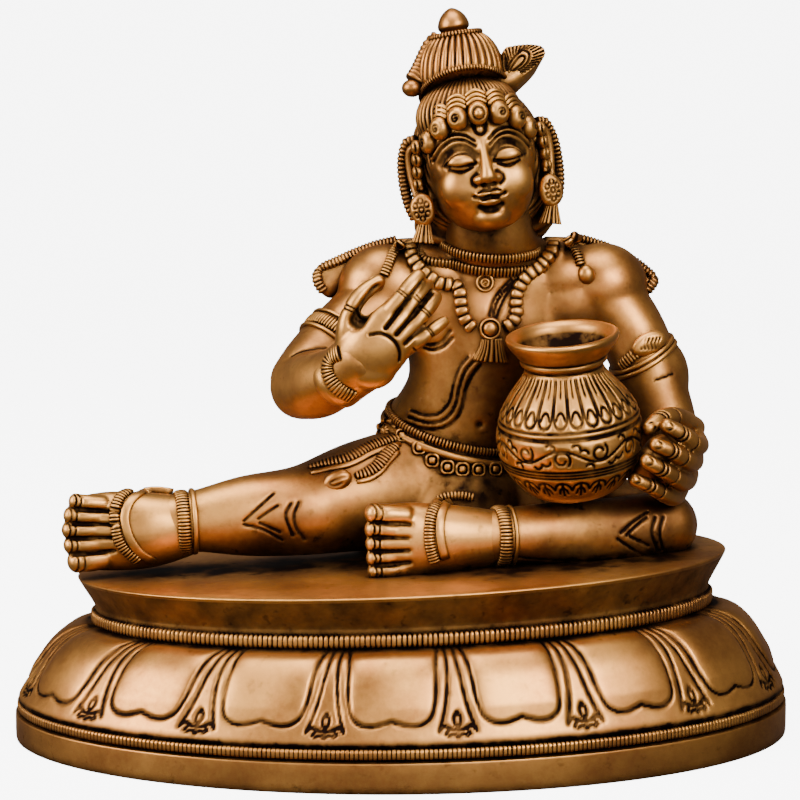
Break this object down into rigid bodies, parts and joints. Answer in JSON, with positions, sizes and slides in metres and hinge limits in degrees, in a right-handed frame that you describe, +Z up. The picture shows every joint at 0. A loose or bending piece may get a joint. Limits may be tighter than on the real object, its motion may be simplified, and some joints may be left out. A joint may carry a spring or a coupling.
{
  "type": "laddu gopal idol",
  "caption": "Cast brass idol of a seated child in jewellery and a turban, a leg stretched out and a butter pot under an arm, on an oval lotus base that rests on a flat surface.",
  "frame": {"origin": "middle of the lotus base's flat underside", "axes": "+X along the base's length, to the figure's left, +Z up, the figure facing -Y"},
  "size_m": [0.2014, 0.1214, 0.186],
  "materials": {
    "base_brass": "antique brass, satin on the raised parts, dark brown patina in the engraving and under the mouldings",
    "figure_brass": "antique brass, polished to gold on the hands, toes, beads and pot, dark brown patina in the carving"
  },
  "bodies": {
    "root": {"lotus_base": "base_brass", "figure_with_pot": "figure_brass"}
  },
  "joints": []
}
